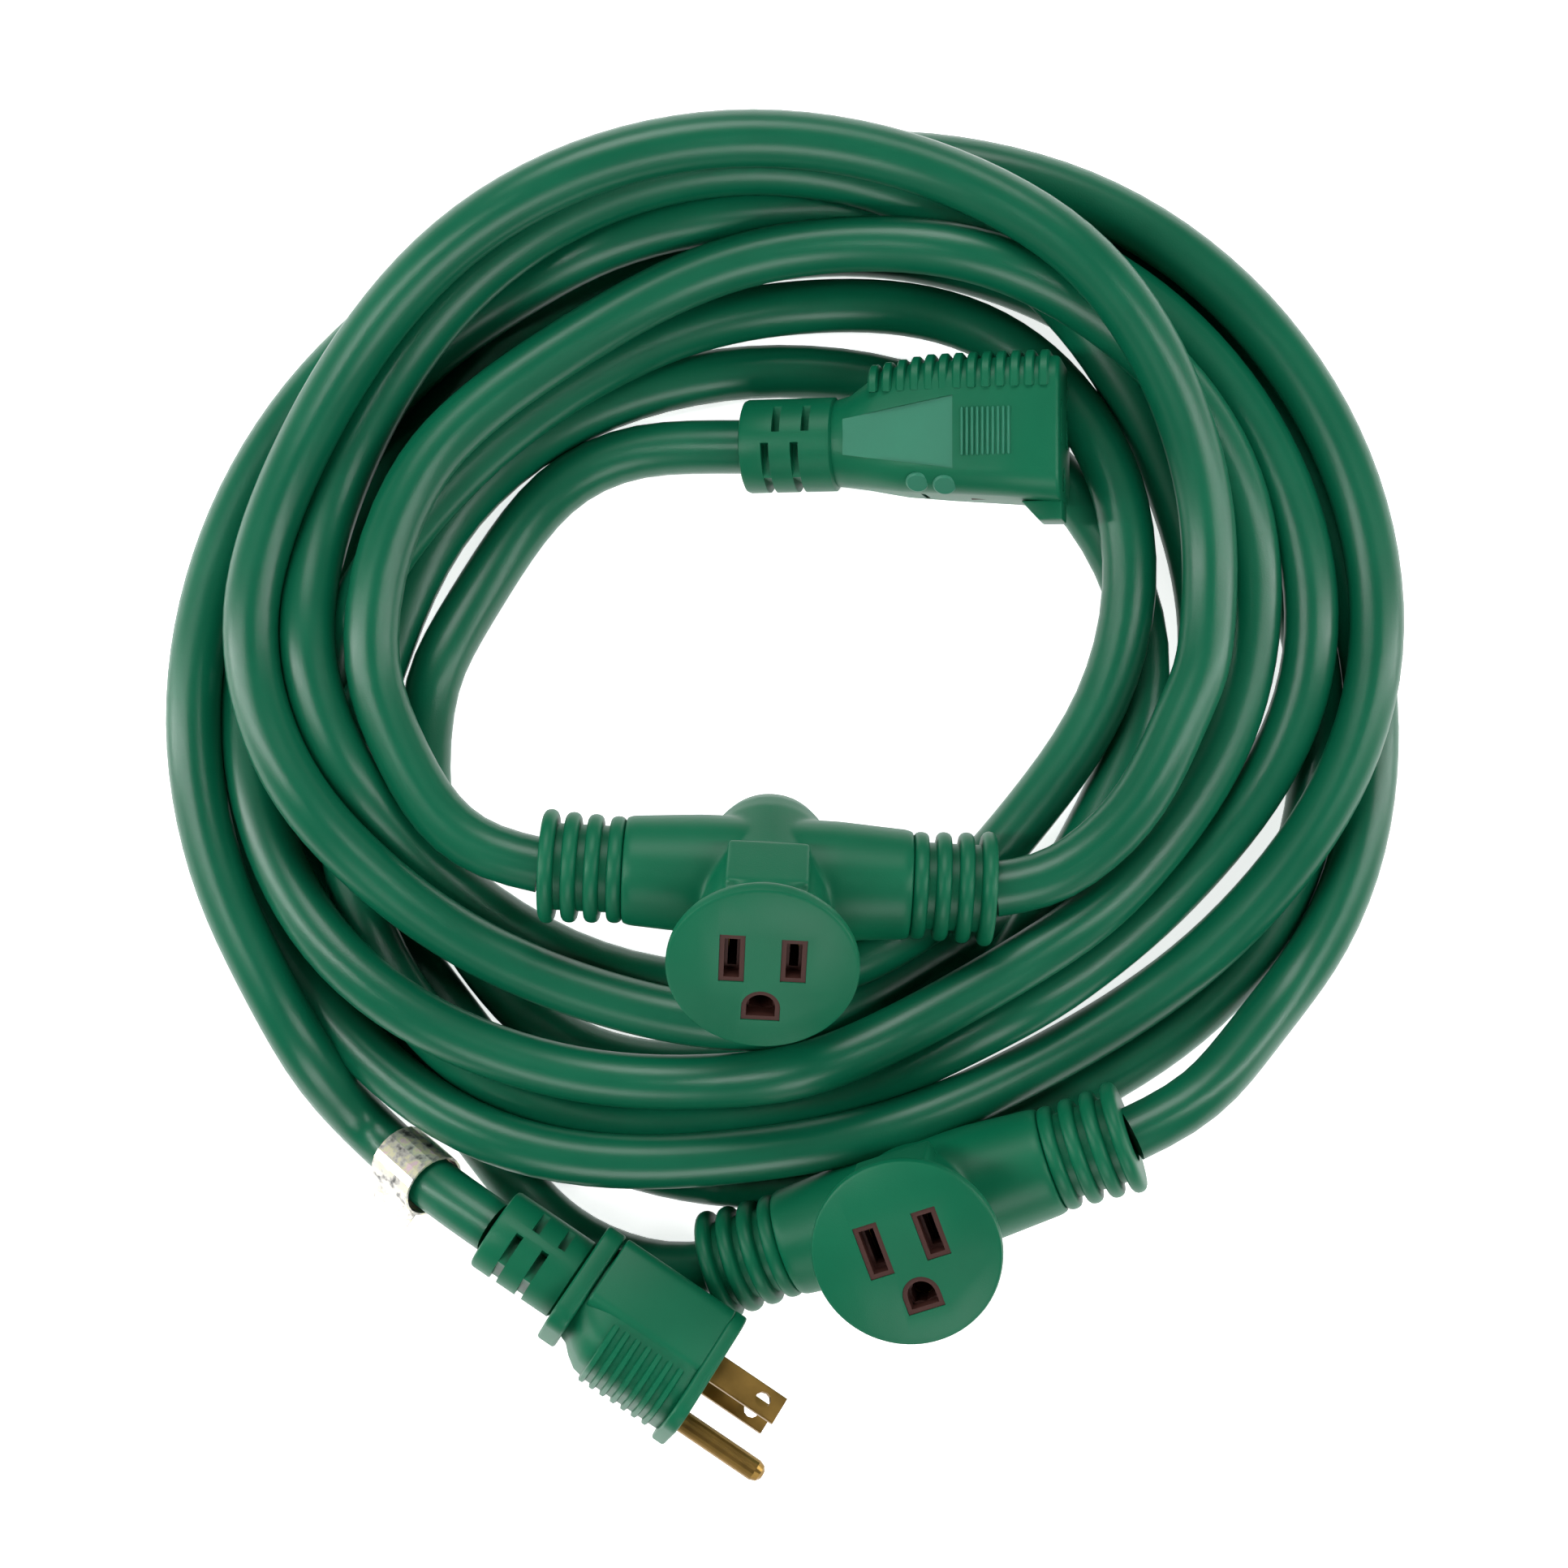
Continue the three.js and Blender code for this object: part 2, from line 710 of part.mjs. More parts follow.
// What the coil keeps clear of: an envelope a little larger than each piece that lies on it.
function envelopes() {
  const world = new THREE.Group();
  const hold = (group, made) => {
    group.add(new THREE.Mesh(geometryOf(made)));
    world.add(group);
  };
  const reach = TAP.reliefEnd + GAP;
  [TAP_1, TAP_2].forEach((place) => {
    const arm = alongX(rod(TAP.middleR + GAP, -reach, reach));
    const outlet = rod(TAP.domeR + 1.6, TAP.backZ - GAP, TAP.faceZ - 8);
    hold(frameAt(place.at, place.heading, place.tilt, place.pitch), join(arm, outlet));
  });
  const plugRoom = slab([-18, -13.5], [14, 13.5], 4, -GAP, PLUG.flangeEnd + 1);
  hold(frameAt(PLUG.at, PLUG.heading, -PLUG.roll, PLUG.pitch), plugRoom);
  const flat = CONNECTOR.bodyR * CONNECTOR.flatness + GAP;
  const wide = CONNECTOR.bodyR + GAP;
  const connectorRoom = block([-GAP, -wide, -flat], [CONNECTOR.length + GAP, wide, flat]);
  hold(frameAt(CONNECTOR.at, 0, 0, CONNECTOR.pitch), connectorRoom);
  const tagRoom = alongX(rod(TAG.outer + GAP, -TAG.length / 2 - GAP, TAG.length / 2 + GAP));
  hold(tagFrame(), tagRoom);
  world.updateMatrixWorld(true);
  const rooms = [];
  world.traverse((piece) => {
    if (piece.isMesh) rooms.push(solid(piece.geometry.clone().applyMatrix4(piece.matrixWorld)));
  });
  return rooms;
}

function cord() {
  const group = new THREE.Group();
  const routes = Object.entries(LEADS).map(([name, lead]) => [name, leadRoute(lead)]);
  const around = routes.map(([, points]) => tube(points, CORD_R + GAP + 0.1));
  const ring = cut(coilRing(), ...envelopes(), ...around);
  group.add(mesh("cord_coil", ring, "jacket"));
  for (const [name, points] of routes) {
    group.add(mesh(name, tube(points, CORD_R), "jacket"));
  }
  return group;
}

const extensionCord = new THREE.Group();
extensionCord.add(cord());
extensionCord.add(tap("tap_1", TAP_1));
extensionCord.add(tap("tap_2", TAP_2));
extensionCord.add(connector());
extensionCord.add(plug());
extensionCord.add(foilTag());

export default extensionCord;
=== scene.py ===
"""An outdoor extension cord wound in a coil, seen from straight above.

The camera, lights and floor are in metres. Shapes and places are in millimetres, and become
metres as each piece is placed.
"""

import json
import math

import bmesh
import bpy
import numpy as np
from mathutils import Matrix, Vector


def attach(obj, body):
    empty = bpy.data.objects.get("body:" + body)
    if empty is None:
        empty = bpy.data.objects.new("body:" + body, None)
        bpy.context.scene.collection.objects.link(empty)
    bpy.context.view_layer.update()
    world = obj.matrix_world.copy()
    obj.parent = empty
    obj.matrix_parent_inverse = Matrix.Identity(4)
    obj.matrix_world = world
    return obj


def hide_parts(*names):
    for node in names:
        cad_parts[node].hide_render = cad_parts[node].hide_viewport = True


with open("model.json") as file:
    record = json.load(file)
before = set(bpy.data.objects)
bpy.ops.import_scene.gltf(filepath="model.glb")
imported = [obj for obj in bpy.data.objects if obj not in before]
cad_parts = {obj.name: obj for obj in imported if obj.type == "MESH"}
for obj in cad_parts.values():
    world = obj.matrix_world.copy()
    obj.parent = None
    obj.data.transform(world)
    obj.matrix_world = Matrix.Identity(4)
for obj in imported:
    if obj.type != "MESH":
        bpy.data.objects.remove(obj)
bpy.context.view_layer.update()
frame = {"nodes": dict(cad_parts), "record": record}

MM = 0.001

# ---------- camera ----------
CAMERA_HEIGHT = 0.580
SENSOR = 36.0
LENS = 58.1

# ---------- the cord and how it is wound, in millimetres ----------
CORD_R = 6
COIL_CENTRE = (-1.0, 23.7)
COIL_FLATNESS = 0.92  # the coil is a little shorter along Y than along X
KNOT_STEP = 30  # degrees from one listed radius to the next
FINE_STEP = 5  # degrees from one worked-out point to the next
SPACING = 5  # from point to point along the cord
TOUCH = 12.05  # how far apart the centrelines of touching turns lie
RANK_HEIGHT = 3.5  # how high a turn starts for each step of its rank
SETTLE_ROUNDS = 260
LAST_ROUNDS = 30  # rounds at the end in which nothing sinks any further
PAIR_ROUNDS = 5  # rounds between searches for touching pairs
SHIFT_PASSES = 2  # times that the sideways shift is evened out in a round
HEIGHT_PASSES = 4  # times that the heights are evened out in a round
PUSH_PASSES = 2  # times that touching pairs are pushed apart in a round
SAG = 0.35  # how far a turn sinks in each round
PULL = 0.10  # how strongly a turn is drawn back to its listed radius
PULL_TOP = 1.2  # the pull is this less a turn's looseness
HIDDEN_RANK = 1.6  # turns of a lower rank lie out of sight and may slide sideways
SEEN_LOOSENESS = 0.12  # how freely a turn in sight slides, where a hidden one has 1
NEIGHBOURS = 12  # points this near along the cord never count as touching
REACH = 1.5  # how many touching distances the search for pairs covers
LARGEST_STEP = 2.0  # the most that a pair is pushed in one pass
RISE_SHARE = 0.8  # how much of a push lifts the upper turn
SINK_SHARE = 0.2  # how much of a push lowers the lower turn
SIDE_SHARE = 0.5  # how much of a push goes sideways, on a full slope
LEAN_SHARE = 0.5  # how much less the upper turn rises if the lower one can slide
POLISH_PASSES = 5

# ---------- places of the mouldings, the same as the model's ----------
# The model counts the plug's roll the other way round.
TAP_1 = {"at": (-3.5, -20.2, 33), "heading": -3, "roll": 32, "pitch": 0}
TAP_2 = {"at": (29.7, -92.1, 22.4), "heading": 19.3, "roll": 6, "pitch": 10}
PLUG = {"at": (-63.5, -97.1, 25.7), "heading": -33.5, "roll": -26, "pitch": 3}
CONNECTOR = {"at": (-8.3, 75.6, 12.5), "heading": 0, "roll": 0, "pitch": 11.5}

TAP_ARM_END = 29.5
TAP_RELIEF_END = 49
TAP_FACE_Z = 34
TAP_FACE_R = 20
BLADE_OFFSET = 6.35
SLOT_LINE = 2.6
PIN_LINE = -9.4
FRAME_WIDTH = 1.05
CONNECTOR_LENGTH = 71
WINDOW = [(23.5, -3.6), (48.5, -7.6), (48.5, 8.2), (23.5, 4.2)]
PLUG_FLANGE = (53.8, 57)

SHARP_ANGLE = 38  # degrees from which an edge shows as sharp
ARC_STEPS = 8  # in a quarter turn of a rounded edge

# ---------- surroundings: pale near the horizon, dark above ----------
WORLD_LOW = 0.75
WORLD_HIGH = 0.05

# ---------- colours, linear ----------
JACKET_GREEN = (0.001, 0.092, 0.044)
MOULDED_GREEN = (0.001, 0.105, 0.048)
FROSTED_GREEN = (0.020, 0.160, 0.095)
CARRIER_BROWN = (0.045, 0.014, 0.010)
BRASS = (0.28, 0.170, 0.045)
FLOOR_WHITE = (0.86, 0.86, 0.86)


# ================= camera, lights and floor =================
def add_camera():
    data = bpy.data.cameras.new("camera")
    data.sensor_width = SENSOR
    data.lens = LENS
    data.clip_start = 0.01
    camera = bpy.data.objects.new("camera", data)
    camera.location = (0, 0, CAMERA_HEIGHT)
    bpy.context.scene.collection.objects.link(camera)
    bpy.context.scene.camera = camera


def add_light(name, place, target, size, power):
    data = bpy.data.lights.new(name, "AREA")
    data.shape = "RECTANGLE"
    data.size, data.size_y = size
    data.energy = power
    light = bpy.data.objects.new(name, data)
    light.location = place
    light.rotation_euler = (Vector(target) - Vector(place)).to_track_quat("-Z", "Y").to_euler()
    bpy.context.scene.collection.objects.link(light)


def add_studio():
    world = bpy.data.worlds.new("studio")
    world.use_nodes = True
    tree = world.node_tree
    background = tree.nodes["Background"]
    coords = tree.nodes.new("ShaderNodeTexCoord")
    split = tree.nodes.new("ShaderNodeSeparateXYZ")
    fade = tree.nodes.new("ShaderNodeMapRange")
    fade.inputs["From Min"].default_value = 0.10
    fade.inputs["From Max"].default_value = 0.40
    fade.inputs["To Min"].default_value = WORLD_LOW
    fade.inputs["To Max"].default_value = WORLD_HIGH
    tree.links.new(coords.outputs["Generated"], split.inputs["Vector"])
    tree.links.new(split.outputs["Z"], fade.inputs["Value"])
    tree.links.new(fade.outputs["Result"], background.inputs["Strength"])
    background.inputs["Color"].default_value = (1, 1, 1, 1)
    bpy.context.scene.world = world
    bpy.context.scene.view_settings.view_transform = "Standard"
    add_light("left_strip", (-0.62, 0.02, 0.42), (0, 0, 0), (0.07, 1.0), 5)
    add_light("right_strip", (0.62, 0.02, 0.42), (0, 0, 0), (0.07, 1.0), 3.8)
    add_light("front_fill", (0.1, -1.0, 0.85), (0, 0, 0), (0.8, 0.5), 8)
    add_light("back_fill", (-0.1, 1.0, 0.85), (0, 0, 0), (0.8, 0.5), 10)


def add_floor():
    mesh = bpy.data.meshes.new("floor")
    half = 1.5
    corners = [(-half, -half, 0), (half, -half, 0), (half, half, 0), (-half, half, 0)]
    mesh.from_pydata(corners, [], [(0, 1, 2, 3)])
    floor = bpy.data.objects.new("floor", mesh)
    bpy.context.scene.collection.objects.link(floor)
    floor.data.materials.append(floor_material())


# ================= materials =================
def principled(name):
    material = bpy.data.materials.new(name)
    material.use_nodes = True
    return material, material.node_tree, material.node_tree.nodes["Principled BSDF"]


def floor_material():
    """White paper that stays white in soft shadow."""
    material, _, shader = principled("floor")
    shader.inputs["Base Color"].default_value = (*FLOOR_WHITE, 1)
    shader.inputs["Roughness"].default_value = 0.9
    shader.inputs["Emission Color"].default_value = (1, 1, 1, 1)
    shader.inputs["Emission Strength"].default_value = 0.8
    return material


def noise(tree, scale, detail):
    coords = tree.nodes.new("ShaderNodeTexCoord")
    texture = tree.nodes.new("ShaderNodeTexNoise")
    texture.inputs["Scale"].default_value = scale
    texture.inputs["Detail"].default_value = detail
    tree.links.new(coords.outputs["Object"], texture.inputs["Vector"])
    return texture


def mixed_colour(tree, factor, low, high):
    ramp = tree.nodes.new("ShaderNodeValToRGB")
    ramp.color_ramp.elements[0].position = 0.3
    ramp.color_ramp.elements[0].color = (*low, 1)
    ramp.color_ramp.elements[1].position = 0.7
    ramp.color_ramp.elements[1].color = (*high, 1)
    tree.links.new(factor, ramp.inputs["Fac"])
    return ramp.outputs["Color"]


def add_bump(tree, shader, height, strength, distance):
    bump = tree.nodes.new("ShaderNodeBump")
    bump.inputs["Strength"].default_value = strength
    bump.inputs["Distance"].default_value = distance
    tree.links.new(height, bump.inputs["Height"])
    tree.links.new(bump.outputs["Normal"], shader.inputs["Normal"])


def varied_roughness(tree, shader, factor, low, high):
    spread = tree.nodes.new("ShaderNodeMapRange")
    spread.inputs["To Min"].default_value = low
    spread.inputs["To Max"].default_value = high
    tree.links.new(factor, spread.inputs["Value"])
    tree.links.new(spread.outputs["Result"], shader.inputs["Roughness"])


def vinyl_material(name, colour, roughness, grain, shine=0.3):
    """Satin vinyl: a fine grain, faint cloudiness and slightly uneven gloss."""
    material, tree, shader = principled(name)
    broad = noise(tree, 35, 3)
    fine = noise(tree, grain, 2)
    dark = tuple(0.90 * part for part in colour)
    light = tuple(1.08 * part for part in colour)
    colour_out = mixed_colour(tree, broad.outputs["Fac"], dark, light)
    tree.links.new(colour_out, shader.inputs["Base Color"])
    varied_roughness(tree, shader, broad.outputs["Fac"], roughness - 0.05, roughness + 0.06)
    shader.inputs["Specular IOR Level"].default_value = shine
    add_bump(tree, shader, fine.outputs["Fac"], 0.12, 0.0002)
    return material


def brass_material():
    """Plain rolled brass with a dull, slightly tarnished skin."""
    material, tree, shader = principled("brass")
    cloud = noise(tree, 160, 4)
    dull = tuple(0.72 * part for part in BRASS)
    tree.links.new(mixed_colour(tree, cloud.outputs["Fac"], dull, BRASS), shader.inputs["Base Color"])
    shader.inputs["Metallic"].default_value = 1.0
    varied_roughness(tree, shader, cloud.outputs["Fac"], 0.28, 0.46)
    add_bump(tree, shader, cloud.outputs["Fac"], 0.15, 0.0001)
    return material


def foil_material():
    """Bright foil with a crinkle, grey mottling and a faint warm and pink shimmer."""
    material, tree, shader = principled("foil")
    patches = noise(tree, 420, 5)
    ramp = tree.nodes.new("ShaderNodeValToRGB")
    stops = [
        (0.30, (0.10, 0.10, 0.10)),
        (0.45, (0.62, 0.60, 0.55)),
        (0.55, (0.80, 0.78, 0.52)),
        (0.63, (0.80, 0.60, 0.66)),
        (0.75, (0.85, 0.86, 0.86)),
    ]
    ramp.color_ramp.elements[0].position = stops[0][0]
    ramp.color_ramp.elements[0].color = (*stops[0][1], 1)
    ramp.color_ramp.elements[1].position = stops[-1][0]
    ramp.color_ramp.elements[1].color = (*stops[-1][1], 1)
    for position, colour in stops[1:-1]:
        ramp.color_ramp.elements.new(position).color = (*colour, 1)
    tree.links.new(patches.outputs["Fac"], ramp.inputs["Fac"])
    tree.links.new(ramp.outputs["Color"], shader.inputs["Base Color"])
    shader.inputs["Metallic"].default_value = 0.75
    shader.inputs["Roughness"].default_value = 0.3
    add_bump(tree, shader, patches.outputs["Fac"], 0.35, 0.0004)
    return material


def make_materials():
    return {
        "jacket": vinyl_material("jacket", JACKET_GREEN, 0.33, 2600, 0.36),
        "moulding": vinyl_material("moulding", MOULDED_GREEN, 0.42, 3400, 0.22),
        "frosted": vinyl_material("moulding_frosted", FROSTED_GREEN, 0.5, 3400),
        "carrier": vinyl_material("carrier", CARRIER_BROWN, 0.6, 2000),
        "brass": brass_material(),
        "foil": foil_material(),
        "wire_black": vinyl_material("wire_black", (0.008, 0.008, 0.008), 0.5, 2000),
        "wire_white": vinyl_material("wire_white", (0.75, 0.73, 0.67), 0.5, 2000),
        "wire_green": vinyl_material("wire_green", (0.012, 0.25, 0.045), 0.5, 2000),
    }


# ================= the cord's route =================
# Each cord leaves its strain relief through its lead's points, which follow the model's leads but
# leave them in places by some millimetres. It winds clockwise, seen from above, through radii
# listed at every thirty degrees. A turn with a higher rank lies over one with a lower rank.
CORD_A = {
    "name": "cord_plug_to_tap_2",
    "lead_in": [(-63.5, -97.1, 25.7), (-69.3, -93.2, 25.3), (-79.4, -87.6, 18.8), (-89, -81, 11.2),
                (-98.3, -72.6, 8)],
    "first": 210,
    "radii": [134, 129.5, 125, 120, 121, 134.5, 137, 132, 118.5, 110, 114, 127,
              130, 125, 119, 118, 119, 125, 129, 131.5, 137.2],
    "ranks": [4.5, 4.5, 4, 3, 1.5, 2, 4, 4, 4, 4, 4, 4,
              1, 1, 1, 1, 1, 1, 1, 1.5, 1.5],
    "lead_out": [(113, -46, 13), (101, -58.5, 22), (92, -67.5, 28.5), (81.9, -73.8, 32.1),
                 (75.3, -76.1, 30.9)],
}
CORD_B = {
    "name": "cord_tap_2_to_tap_1",
    "lead_in": [(-15.9, -108.0, 13.9), (-22.4, -110.3, 12.7), (-31.5, -109.2, 7.2),
                (-43, -106, 6.2), (-53, -98.5, 6.1), (-62, -89, 6.1)],
    "first": 210,
    "radii": [119, 109, 107, 110, 111, 114, 118, 121, 126, 121, 123, 119,
              112, 98, 88, 85.5, 90.5, 97, 88, 74.5, 64.5, 67, 75, 82,
              89.5, 101.5, 108, 116, 120, 112, 101, 97, 90, 81, 82.5, 86.5,
              98.5, 113.5, 116.5, 121.5, 123.5, 117.5, 104, 92],
    "ranks": [0, 0, 0, 0, 0, 0, 0.5, 1, 1.2, 1.2, 1, 1,
              1.4, 2, 2.6, 2.6, 2.6, 3, 6, 7, 7, 5.5, 4, 4,
              4, 4.5, 5, 5, 5, 4.5, 0.8, 0.5, 0.8, 1.2, 5, 8,
              10, 10, 10, 10, 10, 10, 10, 10],
    "lead_out": [(88, 19, 31), (82, 5, 33), (75, -7, 33), (64, -17, 33), (52.4, -23.1, 33),
                 (45.4, -22.8, 33)],
}
CORD_C = {
    "name": "cord_tap_1_to_connector",
    "lead_in": [(-52.4, -17.6, 33), (-59.4, -17.3, 33), (-69, -12.5, 33), (-78, -3, 33)],
    "first": 180,
    "radii": [89, 91.7, 91, 100.5, 108.5, 112, 104, 92, 86, 94, 107, 118,
              119, 113, 110.7, 112, 121, 122.5, 117.5, 103, 95.5, 105, 117, 108,
              90, 84.3, 78.5, 76.5, 79, 82.4, 84.4, 82, 91, 97, 103, 90,
              78],
    "ranks": [6.5, 6.5, 6.5, 6, 6, 6, 6, 6, 5.5, 5.5, 5.5, 5.5,
              4, 2.8, 2.8, 2.8, 3, 4, 4, 3.5, 3, 3, 3, 2.5,
              2, 2, 2, 2, 2, 1, 1, 1, 1, 1, 1, 2.2,
              3],
    "lead_out": [(-60, 57.5, 6.3), (-49, 69.5, 6.2), (-38, 75, 6.4), (-27, 76.5, 8), (-15.2, 75.6, 11.1),
                 (-8.3, 75.6, 12.5)],
}


def catmull(before, start, end, after, t):
    """A smooth value or vector between start and end."""
    return 0.5 * (
        2 * start
        + (end - before) * t
        + (2 * before - 5 * start + 4 * end - after) * t * t
        + (3 * start - before - 3 * end + after) * t * t * t
    )


def spread(values, steps):
    """Values set at the knots, filled in smoothly between them."""
    out = []
    for i in range(len(values) - 1):
        before = values[max(i - 1, 0)]
        after = values[min(i + 2, len(values) - 1)]
        for k in range(steps):
            out.append(catmull(before, values[i], values[i + 1], after, k / steps))
    out.append(values[-1])
    return out


def wound_points(cord):
    """The coiled stretch as rows of x, y, z, rank and hold, in millimetres."""
    steps = KNOT_STEP // FINE_STEP
    radii = spread(cord["radii"], steps)
    ranks = spread(cord["ranks"], steps)
    rows = []
    for i, (radius, rank) in enumerate(zip(radii, ranks)):
        turn = math.radians(cord["first"] - i * FINE_STEP)
        x = COIL_CENTRE[0] + radius * math.cos(turn)
        y = COIL_CENTRE[1] + COIL_FLATNESS * radius * math.sin(turn)
        rows.append((x, y, CORD_R + RANK_HEIGHT * rank, rank, 0))
    return rows


def hand_route(cord):
    """Lead, coiled stretch and lead again, as evenly close rows of x, y, z, rank and hold."""
    lead_in = [(*place, cord["ranks"][0], 1) for place in cord["lead_in"]]
    lead_out = [(*place, cord["ranks"][-1], 1) for place in cord["lead_out"]]
    rows = np.array(lead_in + wound_points(cord) + lead_out, dtype=float)
    out = []
    for i in range(len(rows) - 1):
        before = rows[max(i - 1, 0)]
        after = rows[min(i + 2, len(rows) - 1)]
        count = max(1, round(np.linalg.norm(rows[i + 1, :3] - rows[i, :3]) / SPACING))
        for k in range(count):
            out.append(catmull(before, rows[i], rows[i + 1], after, k / count))
    out.append(rows[-1])
    return np.array(out)


def along_mean(values, spans):
    """Each value's neighbours' mean along its own cord; the ends keep their own value."""
    mean = values.copy()
    mean[1:-1] = 0.5 * (values[:-2] + values[2:])
    for start, end in spans:
        mean[start] = values[start]
        mean[end - 1] = values[end - 1]
    return mean


def touching_pairs(places, ranks, owner, order):
    """Pairs of near points of different stretches, with the one of lower rank first."""
    flat = places[:, None, :] - places[None, :, :]
    near = np.einsum("ijk,ijk->ij", flat, flat) < (REACH * TOUCH) ** 2
    apart = np.abs(order[:, None] - order[None, :]) > NEIGHBOURS
    same = owner[:, None] == owner[None, :]
    near &= apart | ~same
    near &= ranks[:, None] < ranks[None, :]
    return np.nonzero(near)


def push_apart(places, low, high, free, loose):
    """Moves touching pairs apart: the upper one mostly up, and the looser ones sideways."""
    gap = places[high] - places[low]
    flat = np.hypot(gap[:, 0], gap[:, 1])
    need = np.sqrt(np.maximum(TOUCH**2 - flat**2, 0))
    lift = need - gap[:, 2]
    hit = (flat < TOUCH) & (lift > 0)
    low, high, gap, flat, lift = low[hit], high[hit], gap[hit], flat[hit], lift[hit]
    step = np.minimum(lift, LARGEST_STEP)
    slope = flat / TOUCH
    way = gap[:, :2] / np.maximum(flat, 0.01)[:, None]
    move = np.zeros_like(places)
    count = np.zeros(len(places))
    rise = RISE_SHARE * step * (1 - LEAN_SHARE * slope * loose[low])
    side = SIDE_SHARE * step * slope
    np.add.at(move, high, np.column_stack([way * (side * loose[high])[:, None], rise]))
    np.add.at(move, low, np.column_stack([-way * (side * loose[low])[:, None], -SINK_SHARE * step]))
    np.add.at(count, high, 1)
    np.add.at(count, low, 1)
    places += move / np.maximum(count, 1)[:, None] * free[:, None]


def settle(cords):
    """Lets the turns down onto the floor and each other, as a stiff cord would lie."""
    rows = np.concatenate(cords)
    ends = np.cumsum([len(cord) for cord in cords])
    spans = [(int(end) - len(cord), int(end)) for end, cord in zip(ends, cords)]
    owner = np.concatenate([np.full(len(cord), i) for i, cord in enumerate(cords)])
    order = np.arange(len(rows))
    places = rows[:, :3].copy()
    hand = rows[:, :2].copy()
    ranks = rows[:, 3] + 1e-6 * order
    free = 1.0 - np.clip(rows[:, 4], 0, 1)
    loose = np.where(rows[:, 3] < HIDDEN_RANK, 1.0, SEEN_LOOSENESS)
    for step in range(SETTLE_ROUNDS):
        if step % PAIR_ROUNDS == 0:
            low, high = touching_pairs(places, ranks, owner, order)
        shift = places[:, :2] - hand
        for _ in range(SHIFT_PASSES):
            shift += 0.5 * (along_mean(shift, spans) - shift)
        shift *= (1 - PULL * (PULL_TOP - loose))[:, None]
        places[:, :2] = hand + shift * free[:, None]
        for _ in range(HEIGHT_PASSES):
            heights = places[:, 2]
            places[:, 2] += 0.5 * (along_mean(heights, spans) - heights) * free
        if step < SETTLE_ROUNDS - LAST_ROUNDS:
            places[:, 2] -= SAG * free
        for _ in range(PUSH_PASSES):
            push_apart(places, low, high, free, loose)
        places[:, 2] = np.maximum(places[:, 2], CORD_R)
    return [places[start:end] for start, end in spans]


def polished(places):
    """A light smoothing along the cord that leaves its ends where they are."""
    out = places.copy()
    for _ in range(POLISH_PASSES):
        out[1:-1] = 0.25 * out[:-2] + 0.5 * out[1:-1] + 0.25 * out[2:]
    return out


def add_cord(cord, points, material):
    curve = bpy.data.curves.new(cord["name"], "CURVE")
    curve.dimensions = "3D"
    curve.bevel_depth = CORD_R * MM
    curve.bevel_resolution = 7
    curve.use_fill_caps = True
    spline = curve.splines.new("POLY")
    spline.points.add(len(points) - 1)
    for spot, point in zip(spline.points, points):
        spot.co = (*point, 1)
    piece = bpy.data.objects.new(cord["name"], curve)
    bpy.context.scene.collection.objects.link(piece)
    curve.materials.append(material)
    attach(piece, "root")
    return piece


def add_cords(material):
    plans = [CORD_A, CORD_B, CORD_C]
    settled = settle([hand_route(plan) for plan in plans])
    routes = [[Vector(place) * MM for place in polished(places)] for places in settled]
    pieces = [add_cord(plan, route, material) for plan, route in zip(plans, routes)]
    return list(zip(pieces, routes))


# ================= mesh helpers, in millimetres in a piece's own frame =================
def placed(place):
    turn = Matrix.Rotation(math.radians(place["heading"]), 4, "Z")
    turn = turn @ Matrix.Rotation(math.radians(-place["pitch"]), 4, "Y")
    turn = turn @ Matrix.Rotation(math.radians(place["roll"]), 4, "X")
    return Matrix.Translation(Vector(place["at"]) * MM) @ turn @ Matrix.Scale(MM, 4)


def new_object(name, vertices, faces):
    mesh = bpy.data.meshes.new(name)
    mesh.from_pydata(vertices, [], faces)
    mesh.validate()
    work = bmesh.new()
    work.from_mesh(mesh)
    bmesh.ops.remove_doubles(work, verts=work.verts, dist=1e-4)
    bmesh.ops.recalc_face_normals(work, faces=work.faces)
    work.to_mesh(mesh)
    work.free()
    piece = bpy.data.objects.new(name, mesh)
    bpy.context.scene.collection.objects.link(piece)
    return piece


def turned(name, profile, along="Z", sides=64):
    """A profile of (radius, height) points turned about an axis, with closed ends."""
    vertices = []
    for r, h in profile:
        for k in range(sides):
            angle = 2 * math.pi * k / sides
            a = r * math.cos(angle)
            b = r * math.sin(angle)
            vertices.append((h, a, b) if along == "X" else (a, b, h))
    faces = []
    for i in range(len(profile) - 1):
        for k in range(sides):
            m = (k + 1) % sides
            faces.append((i * sides + k, i * sides + m, (i + 1) * sides + m, (i + 1) * sides + k))
    last = (len(profile) - 1) * sides
    faces.append(tuple(range(sides)))
    faces.append(tuple(range(last, last + sides)))
    return new_object(name, vertices, faces)


def block(name, low, high):
    x0, y0, z0 = low
    x1, y1, z1 = high
    vertices = [(x, y, z) for x in (x0, x1) for y in (y0, y1) for z in (z0, z1)]
    faces = [(0, 1, 3, 2), (4, 6, 7, 5), (0, 4, 5, 1), (2, 3, 7, 6), (0, 2, 6, 4), (1, 5, 7, 3)]
    return new_object(name, vertices, faces)


def rounded_outline(low, high, radius, points=8):
    corners = [
        (high[0] - radius, high[1] - radius, 0),
        (low[0] + radius, high[1] - radius, 90),
        (low[0] + radius, low[1] + radius, 180),
        (high[0] - radius, low[1] + radius, 270),
    ]
    outline = []
    for cx, cy, start in corners:
        for k in range(points + 1):
            angle = math.radians(start + 90 * k / points)
            outline.append((cx + radius * math.cos(angle), cy + radius * math.sin(angle)))
    return outline


